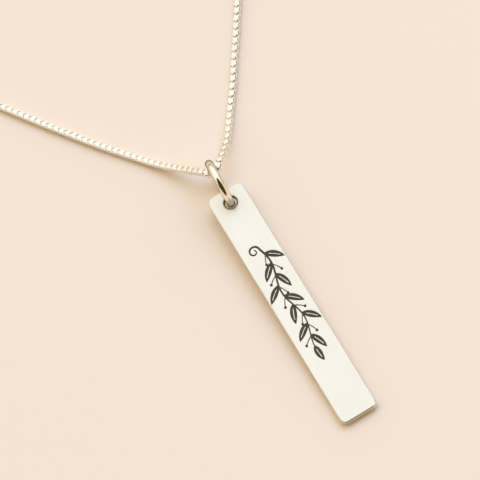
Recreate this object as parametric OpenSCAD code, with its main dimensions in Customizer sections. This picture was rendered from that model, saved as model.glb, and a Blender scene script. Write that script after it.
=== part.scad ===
// Rectangular tag necklace in polished silver, as it lies on a table.
// A narrow tag hangs on a jump ring that stands upright, and a fine box chain passes through
// the ring and runs round in one whole loop to a barrel clasp. Millimetres, +Z up, table at z = 0.
// The origin is on the table under the middle of the whole necklace; the tag points to -Y.

/* [Tag] */
// Length of the tag
tag_len = 34; // [26:0.5:42]
// Width of the tag
tag_w = 5; // [4.4:0.1:7]
// Thickness of the tag
tag_t = 1; // [0.8:0.05:1.1]
// Radius of the four corners, seen from the front
tag_corner = 0.8; // [0.3:0.05:1.5]
// Bevel round the edges of both faces
tag_bevel = 0.12; // [0.05:0.01:0.2]
// Diameter of the hole
hole_d = 1.6; // [1.5:0.05:1.8]
// Chamfer round the hole on both faces
hole_chamfer = 0.2; // [0.1:0.01:0.25]
// Distance from the upper end to the hole's centre
hole_inset = 1.8; // [1.6:0.05:2]
// Height of the tag's mid-plane above the table, at the hole
tag_lift = 2.1; // [2:0.05:2.3]

/* [Jump ring] */
// Outer diameter of the ring
ring_od = 6.6; // [6.4:0.1:6.8]
// Thickness of the ring's wire
ring_wire = 1; // [0.8:0.05:1]
// Turn of the standing ring from the tag's line, seen from above
ring_turn = 2; // [0:1:6]

/* [Chain] */
// Width of the chain
chain_w = 0.8; // [0.6:0.05:0.9]
// Height of the chain's centre where it crosses the ring
chain_lift = 3; // [2.8:0.05:3.2]
// Stretch over which the chain comes down from the ring or from the clasp to the table
chain_fall = 9; // [6:0.5:12]

/* [Clasp] */
// Length of the barrel
barrel_len = 8; // [6:0.5:10]
// Diameter of the barrel at its middle
barrel_d = 2.8; // [2.4:0.1:3.4]
// Diameter of the barrel at its ends
barrel_end_d = 1.4; // [1:0.1:1.8]
// Depth of the groove round the barrel's middle
groove_depth = 0.15; // [0.05:0.05:0.3]
// Outer diameter of the eye at each end
eye_d = 2.2; // [2:0.1:2.6]
// Thickness of the eye's wire
eye_wire = 0.6; // [0.5:0.05:0.7]

/* [Hidden] */
$fn = 64;

// Where the ring stands, seen from the middle of the whole necklace
ring_at = [0.25, -71.07, 0];
// Where the clasp's middle lies, seen from the ring
clasp_at = [0, 175.4, 0];
// Room that is left between pieces that rest on each other
gap = 0.05;

// The chain's route on the table, seen from above with the ring at [0, 0]
LEFT = [
    [-9.6, 175], [-14.4, 174], [-27.6, 169.4], [-39.4, 161.6], [-49, 151.2], [-55.4, 138.8],
    [-58.6, 125.2], [-58.4, 111.2], [-55.4, 97.6], [-50.4, 84.4], [-44.4, 71.6], [-38, 59],
    [-31.6, 47], [-25, 35.8], [-18.5, 26], [-14.2, 19.6], [-10.3, 14.1], [-7.6, 10.6],
    [-5, 7.3], [-2.8, 4.7]
];
RIGHT = [
    [2.5, 4], [3.6, 5.3], [5.5, 8.3], [8.1, 12.1], [13.9, 21.2], [20.2, 31.4], [26.9, 43.1],
    [33.6, 55.2], [40.2, 67.6], [46.5, 80.6], [52.2, 94], [56.5, 108], [58.4, 122.2],
    [56.8, 136.4], [51.2, 149.4], [42, 160.4], [30, 168.6], [16.6, 173.6], [10, 175]
];
// Angles round the ring's wire where the chain's bend begins and ends
bend_from = -47;
bend_to = 57;
bend_steps = 4;
// The tube that stands for the chain's links: its sides, and the stretch from ring to ring of it
tube_sides = 8;
tube_step = 6.7;

ring_r = (ring_od - ring_wire) / 2;
ring_z = ring_od / 2;
ring_axis = [sin(ring_turn), cos(ring_turn)];
ring_side = [cos(ring_turn), -sin(ring_turn)];

// The hole's near wall hangs on the inside of the wire, so this is how far the hole is from the ring
hang_drop = ring_z - tag_lift + tag_t / 2 - hole_chamfer;
hole_at = sqrt(pow(ring_r - ring_wire / 2, 2) - pow(hang_drop, 2)) - gap + hole_d / 2;
// The lower end's edge touches the table
tag_reach = tag_len - hole_inset - tag_bevel;
tag_tilt = asin(tag_lift / norm([tag_reach, tag_t / 2])) - atan(tag_t / 2 / tag_reach);

tube_r = chain_w / 2 / cos(180 / tube_sides);
bend_r = ring_wire / 2 + tube_r + gap;
bend_mid = ring_axis * sqrt(pow(ring_r, 2) - pow(ring_z - chain_lift, 2));

eye_at = barrel_len / 2 + eye_d / 2 - eye_wire;
clasp_end = eye_at + eye_d / 2;
clasp_z = barrel_d / 2;
barrel_sink = (barrel_d - barrel_end_d) / 2;
barrel_arc = (pow(barrel_len / 2, 2) + pow(barrel_sink, 2)) / (2 * barrel_sink);

// Share of a fall that is left at a distance: one at its start, none where the chain meets the table
function left_of_fall(distance) = pow(1 - min(max(distance / chain_fall, 0), 1), 2);
function chain_height(p) =
    chain_w / 2
    + (chain_lift - chain_w / 2) * left_of_fall(norm(p - bend_mid) - bend_r)
    + (clasp_z - chain_w / 2)
        * left_of_fall(norm(p - [clasp_at[0], clasp_at[1]]) - clasp_end - gap);

bend = [
    for (i = [0 : bend_steps])
        let (a = bend_from + (bend_to - bend_from) * i / bend_steps)
        bend_mid + bend_r * (ring_side * sin(a) - ring_axis * cos(a))
];
clasp_left = [clasp_at[0] - clasp_end - gap, clasp_at[1]];
clasp_right = [clasp_at[0] + clasp_end + gap, clasp_at[1]];
plan_route = concat([clasp_left], LEFT, bend, RIGHT, [clasp_right]);

// Direction of the smooth line at one of its points, from the points before and after it
function unit(v) = v / norm(v);
function heading(pts, i) = unit(pts[min(i + 1, len(pts) - 1)] - pts[max(i - 1, 0)]);
// Point at the share u of a smooth span that leaves a along da and reaches b along db
function on_span(a, b, da, db, u) =
    let (reach = norm(b - a))
    a * (1 + 2 * u) * pow(1 - u, 2) + b * (3 - 2 * u) * pow(u, 2)
    + da * reach * u * pow(1 - u, 2) - db * reach * (1 - u) * pow(u, 2);
function smooth_line(pts, step) = concat([
    for (i = [0 : len(pts) - 2])
        let (n = max(1, round(norm(pts[i + 1] - pts[i]) / step)))
        for (j = [0 : n - 1])
            on_span(pts[i], pts[i + 1], heading(pts, i), heading(pts, i + 1), j / n)
], [pts[len(pts) - 1]]);
// Centre line of the chain in space: the smooth route with its height at each point
function chain_line() =
    [for (p = smooth_line(plan_route, tube_step)) [p[0], p[1], chain_height(p)]];
// Corners of one section of the tube, with a flat side below
function section(centre, along) =
    let (side = unit(cross(along, [0, 0, 1])), up = cross(side, along))
    [
        for (k = [0 : tube_sides - 1])
            let (a = 360 * (k + 0.5) / tube_sides)
            centre + tube_r * (side * cos(a) + up * sin(a))
    ];

// Tube with closed ends that is swept along a line of points
module tube(line) {
    n = len(line);
    corners = [for (i = [0 : n - 1]) each section(line[i], heading(line, i))];
    walls = [
        for (i = [0 : n - 2], k = [0 : tube_sides - 1])
            let (a = i * tube_sides, b = a + tube_sides, next = (k + 1) % tube_sides)
            each [[a + k, b + k, b + next], [a + k, b + next, a + next]]
    ];
    start = [[for (k = [0 : tube_sides - 1]) k]];
    finish = [[for (k = [tube_sides - 1 : -1 : 0]) (n - 1) * tube_sides + k]];
    polyhedron(corners, concat(walls, start, finish), convexity = 10);
}

// Bevelled outline of a plate's edge, out to the radius or half width r
module edge_profile(r) {
    polygon([
        [0, -tag_t / 2], [r - tag_bevel, -tag_t / 2], [r, tag_bevel - tag_t / 2],
        [r, tag_t / 2 - tag_bevel], [r - tag_bevel, tag_t / 2], [0, tag_t / 2]
    ]);
}

// Straight stretch of the plate, as long as run, with both long edges bevelled
module bevelled_bar(half_width, run) {
    rotate([90, 0, 0])
        linear_extrude(height = run, center = true)
            for (side = [0, 1])
                mirror([side, 0])
                    edge_profile(half_width);
}

// Rectangular plate with round corners and bevelled edges, centred on the origin
module plate() {
    bevelled_bar(tag_w / 2, tag_len - 2 * tag_corner);
    rotate([0, 0, 90])
        bevelled_bar(tag_len / 2, tag_w - 2 * tag_corner);
    for (x = [-1, 1], y = [-1, 1])
        translate([x * (tag_w / 2 - tag_corner), y * (tag_len / 2 - tag_corner), 0])
            rotate_extrude()
                edge_profile(tag_corner);
}

// Hole through the plate with a chamfer on each face
module chamfered_hole() {
    cylinder(h = 2 * tag_t, d = hole_d, center = true);
    for (face = [0, 1])
        mirror([0, 0, face])
            translate([0, 0, tag_t / 2 - hole_chamfer])
                cylinder(h = 2 * hole_chamfer, r1 = hole_d / 2, r2 = hole_d / 2 + 2 * hole_chamfer);
}

// Closed ring of round wire, lying flat round the origin
module wire_ring(outer_d, wire) {
    rotate_extrude()
        translate([(outer_d - wire) / 2, 0])
            circle(d = wire);
}

// Barrel along Z that bulges in one arc from end to end
module barrel() {
    rotate_extrude()
        difference() {
            intersection() {
                translate([barrel_d / 2 - barrel_arc, 0])
                    circle(r = barrel_arc, $fn = 180);
                translate([0, -barrel_len / 2])
                    square([barrel_d, barrel_len]);
            }
            translate([barrel_d / 2, 0])
                circle(r = groove_depth);
        }
}

module tag() {
    color("gainsboro")
        translate(ring_at + [-hole_at * ring_axis[0], -hole_at * ring_axis[1], tag_lift])
            rotate([tag_tilt, 0, 0])
                difference() {
                    translate([0, hole_inset - tag_len / 2, 0])
                        plate();
                    chamfered_hole();
                }
}

module jump_ring() {
    color("silver")
        translate(ring_at + [0, 0, ring_z])
            rotate([90, 0, 90 - ring_turn])
                wire_ring(ring_od, ring_wire);
}

module chain() {
    color("whitesmoke")
        translate(ring_at)
            tube(chain_line());
}

module clasp() {
    color("lightgray")
        translate(ring_at + clasp_at + [0, 0, clasp_z]) {
            rotate([0, 90, 0])
                barrel();
            for (end = [-1, 1])
                translate([end * eye_at, 0, 0])
                    wire_ring(eye_d, eye_wire);
        }
}

tag();
jump_ring();
chain();
clasp();
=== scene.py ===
"""Rectangular tag necklace in polished silver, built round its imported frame.

A bevelled tag with an engraved sprig hangs on a standing jump ring, a box chain runs through the
ring and round to a barrel clasp, and all of it lies on a plain pale floor. Lengths are in metres.
"""

import bpy
import numpy as np
from bpy.props import FloatProperty, FloatVectorProperty, IntProperty, PointerProperty
from bpy.types import NodeSocket, Operator, Panel, PropertyGroup
from mathutils import Matrix, Vector


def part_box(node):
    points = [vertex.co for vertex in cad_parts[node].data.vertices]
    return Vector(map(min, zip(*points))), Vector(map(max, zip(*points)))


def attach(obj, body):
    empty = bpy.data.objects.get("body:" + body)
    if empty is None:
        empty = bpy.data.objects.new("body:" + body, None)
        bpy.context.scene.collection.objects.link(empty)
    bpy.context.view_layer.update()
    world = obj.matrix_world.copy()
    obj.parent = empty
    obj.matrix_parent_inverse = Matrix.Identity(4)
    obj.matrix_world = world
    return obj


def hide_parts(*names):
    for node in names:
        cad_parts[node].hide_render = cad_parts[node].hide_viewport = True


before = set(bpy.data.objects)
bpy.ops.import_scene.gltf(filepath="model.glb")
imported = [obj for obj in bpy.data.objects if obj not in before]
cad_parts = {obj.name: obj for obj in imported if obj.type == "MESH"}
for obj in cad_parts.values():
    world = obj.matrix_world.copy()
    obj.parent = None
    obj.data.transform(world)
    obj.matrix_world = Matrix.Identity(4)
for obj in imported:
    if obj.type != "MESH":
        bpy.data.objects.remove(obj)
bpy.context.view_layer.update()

bl_info = {
    "name": "Tag Necklace",
    "version": (1, 0, 0),
    "blender": (4, 5, 0),
    "location": "View3D > Sidebar > Necklace",
    "description": "Builds a rectangular tag necklace with an engraved sprig, piece by piece",
    "category": "Add Mesh",
}

MM = 0.001
BODY = "root"
WELD_REACH = 1e-7
RING_BOX = np.array(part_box("jump_ring"))
TAG_BOX = np.array(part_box("tag"))
CLASP_BOX = np.array(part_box("clasp"))
# The spot on the table under the jump ring, from which the chain's route is measured
RING_SPOT = RING_BOX[:, :2].mean(axis=0)
CLASP_MIDDLE = CLASP_BOX.mean(axis=0)
CLASP_LENGTH, _, CLASP_HEIGHT = CLASP_BOX[1] - CLASP_BOX[0]

# The chain's route on the table in millimetres, from above: clasp to ring, then ring to clasp
ROUTE_TO_RING = [
    [-9.6, 175], [-14.4, 174], [-27.6, 169.4], [-39.4, 161.6], [-49, 151.2], [-55.4, 138.8],
    [-58.6, 125.2], [-58.4, 111.2], [-55.4, 97.6], [-50.4, 84.4], [-44.4, 71.6], [-38, 59],
    [-31.6, 47], [-25, 35.8], [-18.5, 26], [-14.2, 19.6], [-10.3, 14.1], [-7.6, 10.6],
    [-5, 7.3], [-2.8, 4.7],
]
ROUTE_FROM_RING = [
    [2.5, 4], [3.6, 5.3], [5.5, 8.3], [8.1, 12.1], [13.9, 21.2], [20.2, 31.4], [26.9, 43.1],
    [33.6, 55.2], [40.2, 67.6], [46.5, 80.6], [52.2, 94], [56.5, 108], [58.4, 122.2],
    [56.8, 136.4], [51.2, 149.4], [42, 160.4], [30, 168.6], [16.6, 173.6], [10, 175],
]


def distance(label, text, millimetres, least=0.0):
    """Property for a length: given in millimetres, kept in metres."""
    return FloatProperty(name=label, description=text, default=millimetres * MM, min=least,
                         subtype="DISTANCE", unit="LENGTH", precision=5)


def angle(label, text, degrees):
    """Property for an angle: given in degrees, kept in radians."""
    return FloatProperty(name=label, description=text, default=np.radians(degrees),
                         subtype="ANGLE", unit="ROTATION")


def share(label, text, value):
    """Property for a plain number from zero to one."""
    return FloatProperty(name=label, description=text, default=value, min=0.0, max=1.0,
                         subtype="FACTOR")


def power(label, text, watts):
    """Property for the power of a light."""
    return FloatProperty(name=label, description=text, default=watts, min=0.0,
                         subtype="POWER", unit="POWER")


def colour(label, text, red, green, blue, top=1.0):
    """Property for a colour, in linear light, up to a top value that is above one for a light."""
    return FloatVectorProperty(name=label, description=text, default=(red, green, blue), size=3,
                               min=0.0, max=top, subtype="COLOR")


class TagSizes(PropertyGroup):
    """Sizes of the rectangular tag."""

    length: distance("Length", "Length of the tag", 34)
    width: distance("Width", "Width of the tag", 5)
    thickness: distance("Thickness", "Thickness of the tag", 1)
    corner: distance("Corner", "Radius of the corners, seen from the front", 0.8)
    bevel: distance("Bevel", "Width of the bevel round both faces", 0.12)
    hole: distance("Hole", "Diameter of the hole", 1.6)
    chamfer: distance("Chamfer", "Width of the chamfer round the hole", 0.2)
    inset: distance("Inset", "Distance from the upper end to the hole's centre", 1.8)


class EngravingSizes(PropertyGroup):
    """Sizes of the sprig that is cut into the tag's face."""

    start: distance("Start", "Where the sprig begins, below the hole's centre", 7.2)
    end: distance("End", "Where the sprig ends, below the hole's centre", 23.6)
    depth: distance("Depth", "Depth of the cut", 0.07)
    slope: distance("Slope", "Width of the cut's sloping side", 0.05)
    sway: distance("Sway", "How far the stem swings from side to side", 0.42)
    wave: distance("Wave", "Length of one full swing of the stem", 8.4)
    leaf: distance("Leaf", "Length of a leaf", 2.55)
    leaf_width: distance("Leaf width", "Width of a leaf at its middle", 0.86)
    hairline: distance("Hairline", "Width of the thinnest lines", 0.12)
    berry: distance("Berry", "Width of a berry", 0.36)
    curl: distance("Curl", "Radius of the curl at the stem's foot", 0.75)
    leaves: IntProperty(name="Leaves", description="Number of side leaves", default=9, min=1)
    # Reach of the painted shade on the back round the hole
    painted_back_shade: distance("Oxide", "How far the dark oxide reaches from the hole on the back", 1.4)


class RingSizes(PropertyGroup):
    """Sizes of the jump ring."""

    wire: distance("Wire", "Thickness of the ring's wire", 1)
    turn: angle("Turn", "Turn of the standing ring from the tag's line, seen from above", 2)


class ChainSizes(PropertyGroup):
    """Sizes of the box chain and of the way it lies."""

    tube: distance("Tube", "Width of the space that the chain lies in", 0.8)
    lift: distance("Lift", "Height of the chain's centre where it crosses the ring", 3)
    fall: distance("Fall", "Stretch over which the chain comes down to the table", 9)
    room: distance("Room", "Room between the chain and the ring's wire", 0.05)
    link_gap: distance("Link gap", "Gap between a link and the next but one", 0.005)
    taut_gap: distance("Taut gap", "That gap where the chain is drawn out", 0.045)
    link_point: distance("Link point", "How far a link's middle reaches past its sides", 0.28)
    link_width: distance("Link width", "Outer width of one link", 0.8)
    strip_width: distance("Strip width", "Width of the strip that a link is bent from", 0.64)
    strip_thickness: distance("Strip thickness", "Thickness of that strip", 0.08)
    pitch_slack: distance("Slack pitch", "Step from link to link where the chain is pushed up", 0.415)
    pitch_taut: distance("Taut pitch", "Step from link to link where the chain is drawn out", 0.5)
    pitch_rest: distance("Resting pitch", "Step from link to link elsewhere", 0.46)
    end_wire: distance("End wire", "Thickness of the rings that join the chain to the clasp", 0.3)
    end_length: distance("End length", "Outer length of those rings", 1.8)
    end_width: distance("End width", "Outer width of those rings", 1.5)


class ClaspSizes(PropertyGroup):
    """Sizes of the barrel clasp."""

    length: distance("Length", "Length of the barrel", 8)
    end: distance("End", "Diameter of the barrel at its ends", 1.4)
    groove: distance("Groove", "Depth of the groove round the middle", 0.15)
    eye: distance("Eye", "Outer diameter of the eye at each end", 2.2)
    eye_wire: distance("Eye wire", "Thickness of the eye's wire", 0.6)


class Finishes(PropertyGroup):
    """Colours and polish of the silver and of the floor."""

    silver: colour("Silver", "Polished silver of the clasp", 0.93, 0.905, 0.85)
    tag_silver: colour("Tag silver", "Brushed silver of the tag", 0.915, 0.885, 0.8)
    ring_silver: colour("Ring silver", "Warmer silver of the jump ring", 0.96, 0.92, 0.82)
    link_silver: colour("Link silver", "Bright-cut silver of the links", 0.945, 0.895, 0.81)
    edge: colour("Edge tint", "Silver seen at a glancing angle", 0.25, 0.21, 0.15)
    # Painted shade on the inner sides of the links
    inner_link_shade: colour("Tarnish", "Silver between the links and in corners", 0.92, 0.88, 0.79)
    # Blackened silver in the engraved lines, and painted shade in the hole and on the back round it
    blackening_and_hole_shade: colour("Blackening", "Oxide in the engraved lines", 0.085, 0.072, 0.052)
    floor: colour("Floor", "Plain floor under the necklace", 0.912, 0.785, 0.665)
    tag_roughness: share("Tag roughness", "Roughness of the tag's faces", 0.36)
    tag_metallic: share("Tag metallic", "Rest of the tag's light is scattered by its satin", 0.55)
    edge_roughness: share("Edge roughness", "Roughness of the tag's edges and hole", 0.1)
    wire_roughness: share("Wire roughness", "Roughness of the ring and the clasp", 0.1)
    link_roughness: share("Link roughness", "Roughness of the chain's links", 0.3)


class StudioSettings(PropertyGroup):
    """Camera, floor and lights."""

    aim_x: distance("Aim across", "Picture's centre, right of the ring", -1.457, -1.0)
    aim_y: distance("Aim along", "Picture's centre, behind the ring", -6.414, -1.0)
    picture: distance("Picture", "Width of the picture at the table", 58.98)
    away: distance("Distance", "Distance from the camera to the table", 900)
    tilt: angle("Tilt", "Lean of the view from straight down", 22.8)
    swing: angle("Swing", "Side from which the camera looks", 3.0)
    roll: angle("Roll", "Turn of the camera about its own view", -28.3)
    floor: distance("Floor", "Width of the floor", 6000)
    key: power("Key light", "Power of the soft light", 7.0)
    key_size: distance("Key size", "Width of the soft light", 900)
    key_tint: colour("Key tint", "Colour of the soft light", 0.107, 0.45, 1.0)
    fill: power("Fill light", "Power of the light that lifts the shadows", 12.8)
    fill_size: distance("Fill size", "Width of the light that lifts the shadows", 2200)
    fill_tint: colour("Fill tint", "Colour of the light that lifts the shadows", 1.0, 0.763, 0.435)
    card: colour("Card", "White card overhead, which the tag's face mirrors", 1.12, 1.15, 1.18, 4.0)
    high_sky: colour("High sky", "Light from overhead, round the card", 1.12, 1.02, 0.83, 4.0)
    low_sky: colour("Low sky", "Light from the far horizon", 0.26, 0.215, 0.14, 4.0)
    near_sky: colour("Near sky", "Light from the side of the camera", 0.82, 0.69, 0.46, 4.0)
    horizon: share("Horizon", "Height at which the sky is fully bright", 0.22)
    dark: colour("Dark", "Dark shape behind the camera", 0.06, 0.042, 0.02)
    dark_from: angle("Dark from", "Where that shape begins, from overhead to the camera", -6)
    dark_to: angle("Dark to", "Where that shape ends, from overhead to the camera", 84)
    dark_side: angle("Dark side", "How far that shape reaches to each side", 54)
    dark_aside: angle("Dark aside", "How far the middle of that shape lies to the right", -14)


class NecklaceSettings(PropertyGroup):
    """All settings of the necklace, one group for each piece."""

    tag: PointerProperty(type=TagSizes)
    engraving: PointerProperty(type=EngravingSizes)
    ring: PointerProperty(type=RingSizes)
    chain: PointerProperty(type=ChainSizes)
    clasp: PointerProperty(type=ClaspSizes)
    finish: PointerProperty(type=Finishes)
    studio: PointerProperty(type=StudioSettings)


def unit(vectors):
    """Vectors of length one: each row divided by its own length."""
    return vectors / np.linalg.norm(vectors, axis=-1, keepdims=True)


def grid_quads(rows, columns, wrap=False, closed=False, first=0):
    """Corner numbers of the quads of a grid of points, row by row. Wrap joins the last column to
    the first, and closed joins the last row to the first as well, as on a torus."""
    numbers = first + np.arange(rows * columns).reshape(rows, columns)
    if closed:
        numbers = np.vstack([numbers, numbers[:1]])
    if wrap or closed:
        numbers = np.column_stack([numbers, numbers[:, 0]])
    return np.stack([numbers[:-1, :-1], numbers[:-1, 1:], numbers[1:, 1:], numbers[1:, :-1]],
                    axis=-1).reshape(-1, 4)


def placed(points, centre, *axes):
    """Points turned so that their x, y and z lie along the three axes, and moved to a centre."""
    return points @ np.array(axes) + centre


def weld(points, quads, values=None):
    """Joins points that round to the same multiples of the weld's reach. A quad that loses a corner
    by it becomes a triangle, and one that loses more is dropped."""
    keys = np.round(points / WELD_REACH).astype(np.int64)
    _, kept, new = np.unique(keys, axis=0, return_index=True, return_inverse=True)
    quads = new.reshape(-1)[quads]
    faces = [tuple(dict.fromkeys(quad)) for quad in quads.tolist()]
    faces = [face for face in faces if len(face) > 2]
    return points[kept], faces, None if values is None else values[kept]


def add_object(name, data):
    """New object of the scene, at the origin."""
    item = bpy.data.objects.new(name, data)
    bpy.context.scene.collection.objects.link(item)
    return item


def make_piece(name, points, faces, material, node, values=None, sharp=60.0):
    """Mesh object at the origin that rides on the necklace's body and stands for a frame node.
    Values are kept at the points as the attribute that the material reads, and edges that turn
    more than the sharp angle aren't smoothed."""
    mesh = bpy.data.meshes.new(name)
    mesh.from_pydata(points.tolist(), [], faces)
    mesh.polygons.foreach_set("use_smooth", np.ones(len(mesh.polygons), bool))
    mesh.set_sharp_from_angle(angle=np.radians(sharp))
    for key, numbers in (values or {}).items():
        mesh.attributes.new(key, "FLOAT", "POINT").data.foreach_set("value", numbers)
    mesh.materials.append(material)
    mesh.update()
    piece = add_object(name, mesh)
    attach(piece, BODY)
    if node:
        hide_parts(node)


# Materials

# Stretch, scale and detail of the noise for wipe marks and for fine scratches
WIPES = ((1.0, 0.25, 1.0), 900.0, 3.0)
SCRATCHES = ((6.0, 0.35, 1.0), 2500.0, 2.0)
# Span of the wipe marks' noise, and what it makes of the roughness
WIPE_SPAN, WIPE_SHARES = (0.35, 0.7), (0.88, 1.14)
SCRATCH_DEPTH = 0.01 * MM
# Roughness of a darkened place, and the attributes' spans over which the sprig's cuts darken as
# blackened silver, and the tag's hole, the back round it and the links' inner sides as painted shade
DULL = 0.6
CUT_AND_SHADE_SPAN, HOLLOW_SPAN = (-0.005, 0.012), (0.6, 1.0)


def set_inputs(tree, node, inputs):
    """Sets a node's inputs to numbers and colours, or links them to the outputs of other nodes."""
    for key, value in inputs.items():
        if isinstance(value, NodeSocket):
            tree.links.new(value, node.inputs[key])
        else:
            node.inputs[key].default_value = value


def add_node(tree, kind, inputs, **choices):
    """Outputs of a new node of a tree that gets its choices and its inputs."""
    node = tree.nodes.new("ShaderNode" + kind)
    for key, value in choices.items():
        setattr(node, key, value)
    set_inputs(tree, node, inputs)
    return node.outputs


def in_range(tree, value, span, new_span=(0.0, 1.0), slope="LINEAR"):
    """Node output that takes a value from one span to another, on a straight or a soft slope."""
    limits = zip(("From Min", "From Max", "To Min", "To Max"), (*span, *new_span))
    return add_node(tree, "MapRange", {"Value": value, **dict(limits)},
                    interpolation_type=slope)["Result"]


def blend(tree, amount, low, high, kind="FLOAT"):
    """Node output that goes from low to high with the amount."""
    return add_node(tree, "Mix", {"Factor": amount, "A": low, "B": high}, data_type=kind)["Result"]


def new_material(name):
    """New material, its nodes and its shader."""
    material = bpy.data.materials.new(name)
    material.use_nodes = True
    return material, material.node_tree, material.node_tree.nodes["Principled BSDF"]


def silver_material(name, base, roughness, scratch=0.1, dark=None, dark_name=None, span=None,
                    tint=(1.0, 1.0, 1.0), bright_edge=None, metallic=1.0):
    """Polished silver: fine scratches and wipe marks as bump and roughness from noise in object
    space, and a darker, duller colour where the named attribute of the surface rises over the
    span: blackened silver in the tag's engraving, and painted shade in its hole, on its back round
    the hole and on the links' inner sides. Where the attribute edge is one, the silver is fully
    metallic and as rough as a bright edge."""
    material, tree, shader = new_material(name)
    place = tree.nodes.new("ShaderNodeTexCoord").outputs["Object"]

    def noise(stretch, scale, detail):
        spot = add_node(tree, "Mapping", {"Vector": place, "Scale": stretch})["Vector"]
        return add_node(tree, "TexNoise", {"Vector": spot, "Scale": scale, "Detail": detail})["Fac"]

    shade = (*base, 1.0)
    rough = in_range(tree, noise(*WIPES), WIPE_SPAN, [roughness * part for part in WIPE_SHARES])
    bump = add_node(tree, "Bump", {"Strength": scratch, "Distance": SCRATCH_DEPTH,
                                   "Height": noise(*SCRATCHES)})
    if bright_edge is not None:
        on_edge = add_node(tree, "Attribute", {}, attribute_name="edge")["Fac"]
        metallic = in_range(tree, on_edge, (0.0, 1.0), (metallic, 1.0))
        rough = blend(tree, on_edge, rough, bright_edge)
    # Darker, duller colour from the named attribute: blackened cuts, and painted shade in the tag's
    # hole, on its back round the hole and on the links' inner sides
    if dark_name:
        darkened = add_node(tree, "Attribute", {}, attribute_name=dark_name)["Fac"]
        amount = in_range(tree, darkened, span)
        shade = blend(tree, amount, shade, (*dark, 1.0), "RGBA")
        rough = blend(tree, amount, rough, DULL)
    set_inputs(tree, shader, {"Base Color": shade, "Metallic": metallic, "Roughness": rough,
                              "Specular Tint": (*tint, 1.0), "Normal": bump["Normal"]})
    return material


# Engraved sprig

LEAF_POINTS = 14
# Part of a leaf's middle line that is its vein
VEIN = slice(3, 11)


def leaf_line(root, heading, length, bend, count=LEAF_POINTS):
    """Middle line of a leaf: a point runs from the root along the heading, and drifts sideways
    with the square of the way."""
    along = np.linspace(0.0, 1.0, count)[:, None]
    side = np.array([-heading[1], heading[0]])
    return root + length * (along * heading + bend * along ** 2 * side)


def curl_line(centre, radius, start, turns, count=40):
    """Curl: round the centre by the turns, while its radius shrinks evenly to a quarter."""
    along = np.linspace(0.0, 1.0, count)
    turned = start + 2.0 * np.pi * turns * along
    reach = radius * (1.0 - 0.75 * along)
    return centre + reach[:, None] * np.stack([np.cos(turned), np.sin(turned)], axis=1)


def sprig_strokes(cut):
    """Strokes of the sprig as (points, widths, sign): a stem that swings as a sine along the tag,
    leaves on alternate sides whose width swells and ends as a sine, a polished vein in each,
    stalked berries opposite the leaves, and a curl at the stem's foot. Ways are shares of the
    stem's span, and the widths of lines are multiples of the hairline."""
    span = cut.end - cut.start
    stem_end, tip_way = 0.9, 0.88
    first_leaf, leaf_stretch, stalk_after, next_way = 0.05, 0.83, 0.012, 0.01
    foot_width, stem_taper, vein_width, least_width = 2.3, 1.2, 0.75, 0.4
    stalk_length, tip_length, curl_turns = 0.52, 0.86, 1.15
    leaf_ahead, leaf_across, stalk_ahead = 0.76, 0.84, 0.9
    leaf_bend, stalk_bend, tip_bend = -0.16, 0.2, 0.1

    def on_stem(way):
        down = cut.start + way * span
        swing = 2.0 * np.pi * way * span / cut.wave
        return np.stack([cut.sway * np.sin(swing), -down], axis=-1)

    ways = np.linspace(0.0, stem_end, 90)
    strokes = [(on_stem(ways), cut.hairline * (foot_width - stem_taper * ways), 1)]
    # The first power moves the leaf's widest place, and the second fills out its ends
    swell = np.sin(np.pi * np.linspace(0.0, 1.0, LEAF_POINTS) ** 0.85) ** 0.8
    leaf_widths = np.maximum(cut.leaf_width * swell, least_width * cut.hairline)

    def add_leaf(root, heading, length, bend):
        line = leaf_line(root, heading, length, bend)
        vein = line[VEIN]
        strokes.append((line, leaf_widths, 1))
        strokes.append((vein, np.full(len(vein), cut.hairline * vein_width), -1))

    for index in range(cut.leaves):
        way = first_leaf + leaf_stretch * index / cut.leaves
        side = -1.0 if index % 2 else 1.0
        root = on_stem(way)
        ahead = unit(on_stem(way + next_way) - root)
        across = side * np.array([-ahead[1], ahead[0]])
        heading = unit(ahead * leaf_ahead + across * leaf_across)
        add_leaf(root, heading, cut.leaf, leaf_bend * side)
        stalk = leaf_line(on_stem(way + stalk_after), unit(ahead * stalk_ahead - across),
                          cut.leaf * stalk_length, stalk_bend * side, count=8)
        strokes.append((stalk, np.full(len(stalk), cut.hairline), 1))
        strokes.append((stalk[-1:].repeat(2, axis=0), np.full(2, cut.berry), 1))
    tip_heading = unit(on_stem(stem_end) - on_stem(tip_way))
    add_leaf(on_stem(tip_way), tip_heading, cut.leaf * tip_length, tip_bend)
    curl = curl_line(on_stem(0.0) + np.array([-cut.curl, 0.0]), cut.curl, 0.0, curl_turns)
    strokes.append((curl, np.linspace(foot_width, 1.0, len(curl)) * cut.hairline, 1))
    return strokes


def depth_in_strokes(places, strokes):
    """How far each place lies inside the strokes, below zero outside them. A stroke is a chain of
    capsules: half its width less the distance to the nearest point of its line; the strokes are
    joined by their largest value, and a polished vein takes its own inside away."""
    inside = np.full(len(places), -1.0)
    for points, widths, sign in strokes:
        near = np.full(len(places), -1.0)
        for a, b, wide_a, wide_b in zip(points[:-1], points[1:], widths[:-1], widths[1:]):
            step = b - a
            along = (places - a) @ step / max(step @ step, 1e-18)
            along = np.clip(along, 0.0, 1.0)
            gap = np.linalg.norm(places - a - along[:, None] * step, axis=1)
            near = np.maximum(near, (wide_a + (wide_b - wide_a) * along) / 2.0 - gap)
        inside = np.maximum(inside, near) if sign > 0 else np.minimum(inside, -near)
    return inside


# Tag

# Points of a face's grid: across the hole, from there to each long edge and round a corner, and
# rows above the hole, in the band below it, and before and after the sprig's fine rows
RIM_POINTS, SIDE_POINTS, CORNER_POINTS = 53, 25, 7
ABOVE_ROWS, BAND_ROWS, LEAD_ROWS, TAIL_ROWS = 5, 9, 10, 14
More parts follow.
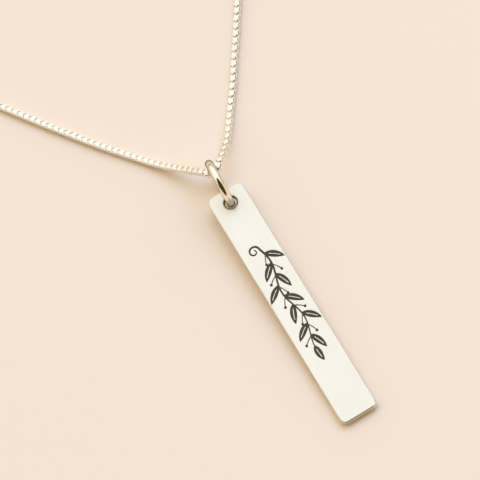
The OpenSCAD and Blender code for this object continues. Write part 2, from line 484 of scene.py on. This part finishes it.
# Height of that band, the step of the fine rows and how far they reach past the sprig's foot and
# tip, and the width of the strip that keeps the face's long edges level
BAND, FINE_STEP, PAST_FOOT, PAST_TIP = 1.5 * MM, 0.055 * MM, 1.7 * MM, 1.2 * MM
EDGE_STRIP = 0.01 * MM
# Lines of the bevel, as shares of its width
BEVEL_LINES = np.array([1.0, 0.9, 0.06, 0.0])
# Limit of the attribute of darkened places, and its value on the back near and far from the hole,
# where the back close round the hole gets painted shade
DARK_LIMIT, DARK_NEAR, DARK_FAR = 0.1, 0.006, -0.005


def tag_face(tag, cut, inset):
    """Grid of points on a face, drawn in by inset, with rows from the upper end to the lower end,
    and the number of rows above the hole's middle. Rows above and below the hole are drawn towards
    its rim, so the rim is a row of the grid, and the two rows that meet beside the hole lie on
    each other. Rows at the ends follow the arcs of the round corners."""
    rim = tag.hole / 2.0 + tag.chamfer
    flat = tag.width / 2.0 - tag.bevel
    top, foot = tag.inset - tag.corner, tag.inset - tag.length + tag.corner
    radius = tag.corner - inset
    arc = np.linspace(0.0, np.pi / 2.0, CORNER_POINTS)[1:]
    turn = np.linspace(-np.pi / 2.0, np.pi / 2.0, RIM_POINTS)
    side = np.append(np.linspace(rim, flat, SIDE_POINTS)[1:-1], [flat - EDGE_STRIP, flat])
    across = np.concatenate([-side[::-1], rim * np.sin(turn), side]) / flat
    rim_height = np.sqrt(np.clip(rim ** 2 - (across * flat) ** 2, 0.0, None))
    above = np.concatenate([np.linspace(0.0, top, ABOVE_ROWS), top + radius * np.sin(arc)])
    share_up = (above / above[-1])[:, None]
    band_up = rim_height * (1.0 - share_up) + above[-1] * share_up
    share_down = np.linspace(0.0, 1.0, BAND_ROWS)[:, None]
    band_down = -rim_height * (1.0 - share_down) - BAND * share_down
    fine = -np.arange(cut.start - PAST_FOOT, cut.end + PAST_TIP, FINE_STEP)
    lead = np.linspace(-BAND, fine[0], LEAD_ROWS)[1:-1]
    tail = np.linspace(fine[-1], foot, TAIL_ROWS)[1:]
    rows = np.concatenate([lead, fine, tail, foot - radius * np.sin(arc)])
    heights = np.concatenate([band_up[::-1], band_down, rows[:, None] + 0.0 * across])
    middle = np.zeros(len(heights) - 2 * len(arc))
    bend = np.concatenate([arc[::-1], middle, arc])
    widths = tag.width / 2.0 - tag.corner + radius * np.cos(bend)
    return np.stack([widths[:, None] * across, heights], axis=-1), len(above)


def rim_of(grid, split):
    """Closed line round the edge of a face's grid, clockwise from the upper left corner. The row
    that the split beside the hole repeats is left out."""
    down = np.delete(grid, split, axis=0)
    return np.concatenate([down[0, :-1], down[:-1, -1], down[-1, :0:-1], down[:0:-1, 0]])


def tag_surface(tag, cut):
    """The tag as a closed surface round the hole's centre: two faces, a bevelled edge and a
    chamfered hole. The front face sinks where the sprig is cut, and its rim stays level. The
    values are how deep each point lies in a darkened place, in millimetres, and one on the edge
    and in the hole. The sprig is darkened as blackened silver. The hole's wall and back chamfer,
    the lower half of its front chamfer and the back close round the hole are darkened as painted
    shade."""
    half = tag.thickness / 2.0
    grid, split = tag_face(tag, cut, tag.bevel)
    rows, columns = grid.shape[:2]
    flat = grid.reshape(-1, 2)
    inside = depth_in_strokes(flat, sprig_strokes(cut))
    to_side = tag.width / 2.0 - tag.bevel - np.abs(flat[:, 0])
    sunk = cut.depth * np.clip(np.minimum(inside, to_side) / cut.slope, 0.0, 1.0)
    front = np.column_stack([flat, half - sunk])
    back = np.column_stack([flat, np.full(len(flat), -half)])
    # A row of quads would close the hole between the two rows that meet beside it
    face = grid_quads(rows, columns).reshape(rows - 1, columns - 1, 4)
    face = np.delete(face, split - 1, axis=0).reshape(-1, 4)

    step_in = BEVEL_LINES * tag.bevel
    levels = half - step_in[::-1]
    edge = []
    for inset, level in zip([*step_in, *step_in[::-1]], [*levels, *-levels[::-1]]):
        rim = rim_of(tag_face(tag, cut, inset)[0], split)
        edge.append(np.column_stack([rim, np.full(len(rim), level)]))

    radius = tag.hole / 2.0 + tag.chamfer
    rim_line = np.concatenate([grid[split - 1], grid[split][::-1]])
    rim_line = rim_line[np.isclose(np.linalg.norm(rim_line, axis=1), radius)]
    bore = radius - tag.chamfer
    wall = half - tag.chamfer
    hole = [np.column_stack([rim_line * reach / radius, np.full(len(rim_line), level)])
            for reach, level in ((radius, half), (bore, wall), (bore, -wall), (radius, -half))]

    points, quads = [front, back], [face[:, ::-1], face + len(front)]
    for strips, flip in ((edge, False), (hole, True)):
        count = sum(len(part) for part in points)
        found = grid_quads(len(strips), len(strips[0]), wrap=True, first=count)
        quads.append(found[:, ::-1] if flip else found)
        points.extend(strips)
    points = np.concatenate(points)
    depth = np.full(len(points), -DARK_LIMIT)
    depth[:len(front)] = np.clip(inside / MM, -DARK_LIMIT, DARK_LIMIT)
    # Painted shade on the back close round the hole, fading out over its reach
    far = np.clip((np.linalg.norm(flat, axis=1) - radius) / cut.painted_back_shade, 0.0, 1.0)
    depth[len(front):2 * len(front)] = DARK_NEAR + (DARK_FAR - DARK_NEAR) * far
    # Painted shade on all of the hole but its first line, which is the chamfer's rim on the front
    depth[len(points) - len(rim_line) * (len(hole) - 1):] = DARK_LIMIT
    on_edge = (np.arange(len(points)) >= 2 * len(front)).astype(float)
    return points, np.concatenate(quads), np.column_stack([depth, on_edge])


def lay_on_ring(points, tag):
    """Turns the tag's points about the hole and moves them to where the tag hangs. The lean comes
    from the height of the tag's box, and the place from the box's upper end."""
    low, high = TAG_BOX
    reach = tag.length - 2.0 * tag.bevel
    lean = (np.arcsin((high[2] - low[2]) / np.hypot(reach, tag.thickness))
            - np.arctan(tag.thickness / reach))
    half = tag.thickness / 2.0
    hole = np.array([(low[0] + high[0]) / 2.0,
                     high[1] - tag.inset * np.cos(lean) - (half - tag.bevel) * np.sin(lean),
                     high[2] - (tag.inset - tag.bevel) * np.sin(lean) - half * np.cos(lean)])
    return placed(points, hole, [1.0, 0.0, 0.0], [0.0, np.cos(lean), np.sin(lean)],
                  [0.0, -np.sin(lean), np.cos(lean)])


# Jump ring

# Points round each ring, and round its wire
RING_POINTS, END_RING_POINTS, EYE_POINTS = (144, 32), (48, 12), (72, 20)


def circle(count):
    """Angles of evenly spaced points round a circle."""
    return np.linspace(0.0, 2.0 * np.pi, count, endpoint=False)


def ring_surface(width, wire, around, about, longer=0.0):
    """Torus in the x-y plane: a circle of wire carried round a larger circle. For an oval ring the
    two halves of the larger circle are moved apart along x, and the gaps are straight."""
    big, small = circle(around)[:, None], circle(about)[None, :]
    reach = (width - wire) / 2.0 + wire / 2.0 * np.cos(small)
    shift = longer / 2.0 * np.sign(np.cos(big))
    points = np.stack([reach * np.cos(big) + shift, reach * np.sin(big),
                       wire / 2.0 * np.sin(small) + 0.0 * big], axis=-1)
    return points.reshape(-1, 3), grid_quads(around, about, closed=True)[:, ::-1]


# Chain

# Angles round the ring's wire, in degrees, where the chain's bend begins and ends, and its points
BEND_FROM, BEND_TO, BEND_POINTS = -47.0, 57.0, 5
# Sides of the CAD tube that the links lie in
TUBE_SIDES = 8
# Height of a link's dome, radius of its corners, and narrowing of its strip at the ends
DOME, LINK_CORNER, NARROWING = 0.03 * MM, 0.035 * MM, 0.25
# Ways from the ring at which the pitch and the twist are given, and the twist in degrees
PITCH_STOPS = np.array([-60.0, -36.0, -1.5, 1.5, 36.0, 60.0]) * MM
TWIST_STOPS = np.array([-90.0, -45.0, 0.6, 4.0, 45.0, 110.0]) * MM
TWISTS = (0.0, 4.0, 4.0, 9.0, 9.0, 0.0)
# Steps in which the links are counted along the chain
COUNTED = 20000
# How far an end ring reaches past the chain's line and over its last link, and the points of
# that line that give its direction
INTO_EYE, OVER_LINK, END_AIM = 0.78 * MM, 0.7 * MM, 20


def heading_of(line):
    """Direction at each point of a line, from the points before and after it."""
    padded = np.concatenate([line[:1], line, line[-1:]])
    return unit(padded[2:] - padded[:-2])


def smooth_line(points, count=60):
    """Smooth curve through the points: on each span a cubic that leaves and reaches its two
    points along the headings there, as strong as the span is long."""
    ahead = heading_of(points)
    u = np.linspace(0.0, 1.0, count, endpoint=False)[None, :, None]
    a, b = points[:-1, None], points[1:, None]
    reach = np.linalg.norm(b - a, axis=-1, keepdims=True)
    curve = (a * (1.0 + 2.0 * u) * (1.0 - u) ** 2 + b * (3.0 - 2.0 * u) * u ** 2
             + ahead[:-1, None] * reach * u * (1.0 - u) ** 2
             - ahead[1:, None] * reach * (1.0 - u) * u ** 2)
    return np.concatenate([curve.reshape(-1, points.shape[1]), points[-1:]])


def way_along(line):
    """Length of the line from its start to each of its points."""
    steps = np.linalg.norm(np.diff(line, axis=0), axis=1)
    return np.concatenate([[0.0], np.cumsum(steps)])


def ring_facts(ring):
    """Radius of the jump ring's middle line, its height, and its direction and side from above."""
    height = RING_BOX[1][2] - RING_BOX[0][2]
    along = np.array([np.sin(ring.turn), np.cos(ring.turn)])
    side = np.array([np.cos(ring.turn), -np.sin(ring.turn)])
    return (height - ring.wire) / 2.0, height / 2.0, along, side


def chain_line(chain, ring):
    """Middle line of the chain in space, from the clasp's left end through the ring to its right
    end. From above it is the smooth route, with an arc round the ring's wire; its height falls
    to the table with the square of the way that is left, from the ring and from the clasp."""
    radius, middle, along, side = ring_facts(ring)
    tube = chain.tube / 2.0 / np.cos(np.pi / TUBE_SIDES)
    bend_radius = ring.wire / 2.0 + tube + chain.room
    bend_middle = RING_SPOT + along * np.sqrt(radius ** 2 - (middle - chain.lift) ** 2)
    turn = np.radians(np.linspace(BEND_FROM, BEND_TO, BEND_POINTS))[:, None]
    bend = bend_middle + bend_radius * (side * np.sin(turn) - along * np.cos(turn))
    clasp_end = CLASP_LENGTH / 2.0 + chain.room
    ends = [CLASP_MIDDLE[:2] - [clasp_end, 0.0], CLASP_MIDDLE[:2] + [clasp_end, 0.0]]
    plan = smooth_line(np.concatenate([
        ends[:1], RING_SPOT + np.array(ROUTE_TO_RING) * MM, bend,
        RING_SPOT + np.array(ROUTE_FROM_RING) * MM, ends[1:]]))

    def left_of_fall(gone):
        return (1.0 - np.clip(gone / chain.fall, 0.0, 1.0)) ** 2

    low = chain.tube / 2.0
    from_ring = np.linalg.norm(plan - bend_middle, axis=1) - bend_radius
    from_clasp = np.linalg.norm(plan - CLASP_MIDDLE[:2], axis=1) - clasp_end
    height = (low + (chain.lift - low) * left_of_fall(from_ring)
              + (CLASP_MIDDLE[2] - low) * left_of_fall(from_clasp))
    return np.column_stack([plan, height])


def link_surface(chain, length):
    """One box link round the origin, long along x: a strip with a slightly domed outer side
    carried round a rectangle whose corners are small arcs of three points, and which narrows
    towards the link's two ends with the squared cosine of the way that it faces. Each of the
    twelve points of that path has a section of seven, and the section's sides are drawn ahead of
    its middle, so the link's ends are pointed."""
    thick, wide = chain.strip_thickness / 2.0, chain.strip_width / 2.0
    section = np.array([[thick, -wide / 2.0], [thick, 0.0], [thick, wide / 2.0],
                        [thick - DOME, wide], [-thick, wide], [-thick, -wide],
                        [thick - DOME, -wide]])
    long = length / 2.0 - thick - LINK_CORNER
    broad = chain.link_width / 2.0 - thick - LINK_CORNER
    turn = np.repeat(np.arange(4), 3) * np.pi / 2.0 + np.tile([0.0, np.pi / 4.0, np.pi / 2.0], 4)
    out = np.stack([np.cos(turn), np.sin(turn)], axis=1)
    signs = np.repeat([[1, 1], [-1, 1], [-1, -1], [1, -1]], 3, axis=0)
    path = signs * [long, broad] + out * LINK_CORNER
    flat = path[:, None] + out[:, None] * section[None, :, :1]
    narrowed = 1.0 - NARROWING * np.cos(turn) ** 2
    height = section[None, :, 1:] * narrowed[:, None, None]
    flat[..., :1] += chain.link_point * (np.abs(height) / wide - 0.5)
    points = np.concatenate([flat, height], axis=-1).reshape(-1, 3)
    # One on the strip's inner side, which the material darkens as painted shade
    hollow = np.tile((section[:, 0] < 0.0).astype(float), len(path))
    return points, grid_quads(len(path), len(section), closed=True)[:, ::-1], hollow


def link_places(chain, line):
    """Ways along the line at which links sit, and the length of each link: the pitch changes from
    the slack side to the taut side of the ring, links are counted as the running sum of 1 over
    the pitch, and the count is rounded to an odd number so that both end links lie flat. A link
    is as long as two pitches less the gap, which opens as the pitch grows."""
    ways = way_along(line)
    whole = ways[-1]
    ring_way = ways[np.argmin(np.linalg.norm(line[:, :2] - RING_SPOT, axis=1))]
    pitches = [chain.pitch_rest, chain.pitch_slack, chain.pitch_slack, chain.pitch_taut,
               chain.pitch_taut, chain.pitch_rest]
    spare = chain.end_length - chain.end_wire - OVER_LINK
    fine = np.linspace(spare, whole - spare, COUNTED)
    steps = np.diff(fine) / np.interp(fine[1:], ring_way + PITCH_STOPS, pitches)
    counted = np.concatenate([[0.0], np.cumsum(steps)])
    count = int(counted[-1] // 2) * 2 + 1
    places = np.interp(np.linspace(0.0, counted[-1], count), counted, fine)
    pitch = np.gradient(places)
    gap = np.interp(pitch, [chain.pitch_slack, chain.pitch_taut], [chain.link_gap, chain.taut_gap])
    return places, 2.0 * pitch - gap, ring_way


def links_surface(chain, line):
    """All links of the chain at once: a link is blended from the shortest and the longest one, and
    turned and moved by a frame at each place. Along is the line's direction, side lies flat, and
    every second link is turned a quarter; the whole chain also twists a little, more on the right
    of the ring than on the left."""
    places, lengths, ring_way = link_places(chain, line)
    short, quads, hollow = link_surface(chain, lengths.min())
    long = link_surface(chain, lengths.max())[0]
    longer = ((lengths - lengths.min()) / (lengths.max() - lengths.min()))[:, None, None]
    link = short + (long - short) * longer
    ways = way_along(line)
    ahead = heading_of(line)
    centre = np.column_stack([np.interp(places, ways, line[:, k]) for k in range(3)])
    along = unit(np.column_stack([np.interp(places, ways, ahead[:, k]) for k in range(3)]))
    side = unit(np.cross(along, [0.0, 0.0, 1.0]))
    above = np.cross(side, along)
    twist = np.radians(np.interp(places, ring_way + TWIST_STOPS, TWISTS))
    twist += np.where(np.arange(len(places)) % 2 == 1, np.pi / 2.0, 0.0)
    across = side * np.cos(twist)[:, None] + above * np.sin(twist)[:, None]
    normal = np.cross(along, across)
    points = (centre[:, None] + link[..., :1] * along[:, None] + link[..., 1:2] * across[:, None]
              + link[..., 2:] * normal[:, None])
    quads = quads + (np.arange(len(places)) * len(short))[:, None, None]
    return points.reshape(-1, 3), quads.reshape(-1, 4), np.tile(hollow, len(places))


# Clasp

# Points along the barrel, across its groove and round it, and how near the groove the first
# may lie, in multiples of its depth
BODY_POINTS, GROOVE_POINTS, AROUND_POINTS, CLEAR_OF_GROOVE = 41, 9, 64, 1.05
# Width and height of the small slope at the barrel's ends
END_SLOPE, END_RISE = 0.08 * MM, 0.01 * MM


def barrel_surface(length, widest, narrowest, groove):
    """Barrel along x: a radius that follows one arc from end to end, with a small round groove at
    the middle and flat ends, carried round the x axis."""
    sink = (widest - narrowest) / 2.0
    arc = ((length / 2.0) ** 2 + sink ** 2) / (2.0 * sink)
    body = np.linspace(-length / 2.0, length / 2.0, BODY_POINTS)
    body = body[np.abs(body) > groove * CLEAR_OF_GROOVE]
    turn = np.linspace(0.0, np.pi, GROOVE_POINTS)
    spot = np.concatenate([body, -groove * np.cos(turn)])
    order = np.argsort(spot)
    radius = np.sqrt(arc ** 2 - spot ** 2) - arc + widest / 2.0
    radius[len(body):] -= groove * np.sin(turn)
    spot, radius = spot[order], radius[order]
    spot = np.concatenate([spot[:1], spot[:1], spot[:1] + END_SLOPE, spot[1:-1],
                           spot[-1:] - END_SLOPE, spot[-1:], spot[-1:]])
    radius = np.concatenate([[0.0], radius[:1] - END_SLOPE, radius[:1] + END_RISE, radius[1:-1],
                             radius[-1:] + END_RISE, radius[-1:] - END_SLOPE, [0.0]])
    turned = circle(AROUND_POINTS)
    points = np.stack([spot[:, None] + 0.0 * turned, radius[:, None] * np.cos(turned),
                       radius[:, None] * np.sin(turned)], axis=-1)
    return points.reshape(-1, 3), grid_quads(len(spot), AROUND_POINTS, wrap=True)


def join(parts):
    """One set of points and quads from several."""
    starts = np.cumsum([0] + [len(points) for points, _ in parts[:-1]])
    return (np.concatenate([points for points, _ in parts]),
            np.concatenate([quads + start for (_, quads), start in zip(parts, starts)]))


# Stage

# Where the soft lights hang, from the spot under the ring, in metres
KEY_PLACE = Vector((0.62, 0.45, 1.0))
FILL_PLACE = Vector((0.2, 0.2, 1.5))
# Spans of a direction over which the sky changes to the left, to the right and on the camera's
# side, and the height at which it begins to brighten
LEFT_FADE, RIGHT_FADE, CAMERA_FADE = (-0.985, -0.9), (0.88, 0.98), (-0.55, -0.05)
HORIZON_FROM = 0.07
# The card's lean, its reach that way and to each side, and its place to the right
CARD = np.radians([-30.0, 32.0, 36.0, 13.0])
# Spans over which the card and the dark shape fade out, in squared shares of their reach
CARD_FADE, DARK_FADE = (0.4, 1.3), (0.85, 1.15)


def make_camera(studio):
    """Camera that leans from straight down by the tilt, on the side that the swing gives, turned
    about its own view by the roll, with a lens as long as the picture's width asks."""
    data = bpy.data.cameras.new("camera")
    data.lens = data.sensor_width * studio.away / studio.picture
    data.clip_start, data.clip_end = 0.01, 100.0
    camera = add_object("camera", data)
    aim = Vector((RING_SPOT[0] + studio.aim_x, RING_SPOT[1] + studio.aim_y, 0.0))
    view = (Matrix.Rotation(-studio.swing, 4, "Z") @ Matrix.Rotation(studio.tilt, 4, "X")
            @ Matrix.Rotation(studio.roll, 4, "Z"))
    camera.matrix_world = Matrix.Translation(aim + view.to_3x3() @ Vector((0, 0, studio.away))) @ view
    bpy.context.scene.camera = camera


def make_soft_light(name, place, studio):
    """Large square light that looks at the ring's spot and is seen neither by the camera nor in
    the silver, which mirrors the room alone."""
    data = bpy.data.lights.new(name, "AREA")
    data.shape = "SQUARE"
    data.size = getattr(studio, name + "_size")
    data.energy = getattr(studio, name)
    data.color = getattr(studio, name + "_tint")
    light = add_object(name, data)
    light.location = Vector((*RING_SPOT, 0.0)) + place
    light.rotation_euler = (-place).to_track_quat("-Z", "Y").to_euler()
    light.visible_camera = False
    light.visible_glossy = False


def make_room(studio):
    """Warm room all round, darker towards the horizon, to the right and on the camera's side. A
    white card hangs where the tag's face mirrors it, and on the camera's side the sky is dark
    inside an ellipse of lean and side angles."""
    world = bpy.data.worlds.new("room")
    world.use_nodes = True
    tree = world.node_tree
    place = tree.nodes.new("ShaderNodeTexCoord").outputs["Generated"]
    x, y, z = add_node(tree, "SeparateXYZ", {"Vector": place})

    def work(operation, *values):
        return add_node(tree, "Math", dict(enumerate(values)), operation=operation)["Value"]

    def fade_in(value, span):
        return in_range(tree, value, span, slope="SMOOTHSTEP")

    def fade_out(value, span):
        return in_range(tree, value, span, (1.0, 0.0), "SMOOTHSTEP")

    lean = work("ARCTAN2", work("MULTIPLY", y, -1.0), z)
    aside = work("ARCSINE", x)

    def squared(value, middle, reach):
        return work("POWER", work("DIVIDE", work("SUBTRACT", value, middle), reach), 2.0)

    def distance_from(middle, reach, side_reach, side_middle):
        return work("ADD", squared(lean, middle, reach), squared(aside, side_middle, side_reach))

    off_card = distance_from(*CARD)
    off_dark = distance_from((studio.dark_from + studio.dark_to) / 2.0,
                             (studio.dark_to - studio.dark_from) / 2.0, studio.dark_side,
                             studio.dark_aside)
    between = work("MULTIPLY", fade_in(x, LEFT_FADE), fade_out(x, RIGHT_FADE))
    above = fade_in(z, (HORIZON_FROM, studio.horizon))
    sky = (*studio.low_sky, 1.0)
    for amount, over in ((work("MULTIPLY", above, between), studio.high_sky),
                         (fade_out(y, CAMERA_FADE), studio.near_sky),
                         (fade_out(off_card, CARD_FADE), studio.card),
                         (fade_out(off_dark, DARK_FADE), studio.dark)):
        sky = blend(tree, amount, sky, (*over, 1.0), "RGBA")
    tree.links.new(sky, tree.nodes["Background"].inputs["Color"])
    bpy.context.scene.world = world


def make_floor(half, base):
    """Plain pale square floor, matt and the same all over, which isn't part of the necklace."""
    mesh = bpy.data.meshes.new("floor")
    mesh.from_pydata([(-half, -half, 0), (half, -half, 0), (half, half, 0), (-half, half, 0)], [],
                     [(0, 1, 2, 3)])
    material, tree, shader = new_material("floor_plain")
    set_inputs(tree, shader, {"Base Color": (*base, 1.0), "Roughness": 0.9,
                              "Specular IOR Level": 0.1})
    mesh.materials.append(material)
    piece = add_object("floor", mesh)


class NECKLACE_OT_stage(Operator):
    """Lay the floor and set the camera and the lights"""

    bl_idname = "necklace.stage"
    bl_label = "Stage"

    def execute(self, context):
        settings = context.scene.necklace
        studio = settings.studio
        make_camera(studio)
        make_floor(studio.floor / 2.0, settings.finish.floor)
        make_room(studio)
        make_soft_light("key", KEY_PLACE, studio)
        make_soft_light("fill", FILL_PLACE, studio)
        context.scene.view_settings.view_transform = "Standard"
        return {"FINISHED"}


class NECKLACE_OT_tag(Operator):
    """Build the rectangular tag with its engraved sprig"""

    bl_idname = "necklace.tag"
    bl_label = "Engraved Tag"

    def execute(self, context):
        settings = context.scene.necklace
        finish = settings.finish
        points, quads, values = tag_surface(settings.tag, settings.engraving)
        points, faces, values = weld(points, quads, values)
        # The engraved attribute carries the blackened cuts of the sprig, and the painted shade in the
        # hole and on the back round it
        material = silver_material("tag_silver", finish.tag_silver, finish.tag_roughness,
                                   dark=finish.blackening_and_hole_shade, dark_name="engraved", span=CUT_AND_SHADE_SPAN,
                                   bright_edge=finish.edge_roughness,
                                   metallic=finish.tag_metallic)
        make_piece("engraved_tag", lay_on_ring(points, settings.tag), faces, material, "tag",
                   {"engraved": values[:, 0], "edge": values[:, 1]}, sharp=30.0)
        return {"FINISHED"}


class NECKLACE_OT_jump_ring(Operator):
    """Build the jump ring that stands in the tag's hole"""

    bl_idname = "necklace.jump_ring"
    bl_label = "Jump Ring"

    def execute(self, context):
        settings = context.scene.necklace
        finish = settings.finish
        _, middle, along, side = ring_facts(settings.ring)
        flat, quads = ring_surface(2.0 * middle, settings.ring.wire, *RING_POINTS)
        points = placed(flat, [*RING_SPOT, middle], [*along, 0.0], [0.0, 0.0, 1.0], [*side, 0.0])
        material = silver_material("ring_silver", finish.ring_silver, finish.wire_roughness,
                                   scratch=0.15, tint=finish.edge)
        make_piece("polished_jump_ring", points, quads.tolist(), material, "jump_ring")
        return {"FINISHED"}


class NECKLACE_OT_chain(Operator):
    """Build the box chain's links and the two rings that join it to the clasp"""

    bl_idname = "necklace.chain"
    bl_label = "Box Chain"

    def execute(self, context):
        settings = context.scene.necklace
        chain, finish = settings.chain, settings.finish
        line = chain_line(chain, settings.ring)
        points, quads, hollow = links_surface(chain, line)
        # The links' inner sides get painted shade, darker and duller than their silver
        material = silver_material("chain_silver", finish.link_silver, finish.link_roughness,
                                   dark=finish.inner_link_shade, dark_name="hollow", span=HOLLOW_SPAN)
        make_piece("box_chain_links", points, quads.tolist(), material, "chain",
                   {"hollow": hollow})
        plain = silver_material("end_ring_silver", finish.silver, finish.wire_roughness)
        oval, oval_quads = ring_surface(chain.end_width, chain.end_wire, *END_RING_POINTS,
                                        chain.end_length - chain.end_width)
        for name, way in (("left", line), ("right", line[::-1])):
            along = unit(way[END_AIM] - way[0])
            side = unit(np.cross(along, [0.0, 0.0, 1.0]))
            centre = way[0] + along * (chain.end_length / 2.0 - INTO_EYE)
            points = placed(oval, centre, along, np.cross(side, along), side)
            make_piece("end_ring_" + name, points, oval_quads.tolist(), plain, None)
        return {"FINISHED"}


class NECKLACE_OT_clasp(Operator):
    """Build the plain barrel clasp with an eye at each end"""

    bl_idname = "necklace.clasp"
    bl_label = "Barrel Clasp"

    def execute(self, context):
        settings = context.scene.necklace
        clasp, finish = settings.clasp, settings.finish
        eye, quads = ring_surface(clasp.eye, clasp.eye_wire, *EYE_POINTS)
        reach = (CLASP_LENGTH - clasp.eye) / 2.0
        parts = [barrel_surface(clasp.length, CLASP_HEIGHT, clasp.end, clasp.groove)]
        parts += [(eye + [end * reach, 0.0, 0.0], quads) for end in (-1, 1)]
        points, faces, _ = weld(*join(parts))
        material = silver_material("clasp_silver", finish.silver, finish.wire_roughness,
                                   scratch=0.15)
        make_piece("barrel_clasp", points + CLASP_MIDDLE, faces, material, "clasp")
        return {"FINISHED"}


class NECKLACE_PT_panel(Panel):
    """Buttons for the pieces of the necklace, and their sizes"""

    bl_idname = "NECKLACE_PT_panel"
    bl_label = "Tag Necklace"
    bl_space_type = "VIEW_3D"
    bl_region_type = "UI"
    bl_category = "Necklace"

    def draw(self, context):
        settings = context.scene.necklace
        for operator in OPERATORS:
            self.layout.operator(operator.bl_idname)
        for key in ("tag", "engraving", "ring", "chain", "clasp", "finish", "studio"):
            group = getattr(settings, key)
            box = self.layout.box()
            box.label(text=key.capitalize())
            for name in group.__annotations__:
                box.prop(group, name)


GROUPS = (TagSizes, EngravingSizes, RingSizes, ChainSizes, ClaspSizes, Finishes, StudioSettings,
          NecklaceSettings)
OPERATORS = (NECKLACE_OT_stage, NECKLACE_OT_tag, NECKLACE_OT_jump_ring, NECKLACE_OT_chain,
             NECKLACE_OT_clasp)


def register():
    """Make the groups, operators and panel known, and give the scene its settings."""
    for item in (*GROUPS, *OPERATORS, NECKLACE_PT_panel):
        bpy.utils.register_class(item)
    bpy.types.Scene.necklace = PointerProperty(type=NecklaceSettings)


def unregister():
    """Take the settings, panel, operators and groups away again."""
    del bpy.types.Scene.necklace
    for item in reversed((*GROUPS, *OPERATORS, NECKLACE_PT_panel)):
        bpy.utils.unregister_class(item)


def main():
    """Build the stage and every piece in order."""
    register()
    bpy.ops.necklace.stage()
    bpy.ops.necklace.tag()
    bpy.ops.necklace.jump_ring()
    bpy.ops.necklace.chain()
    bpy.ops.necklace.clasp()


if __name__ == "__main__":
    main()
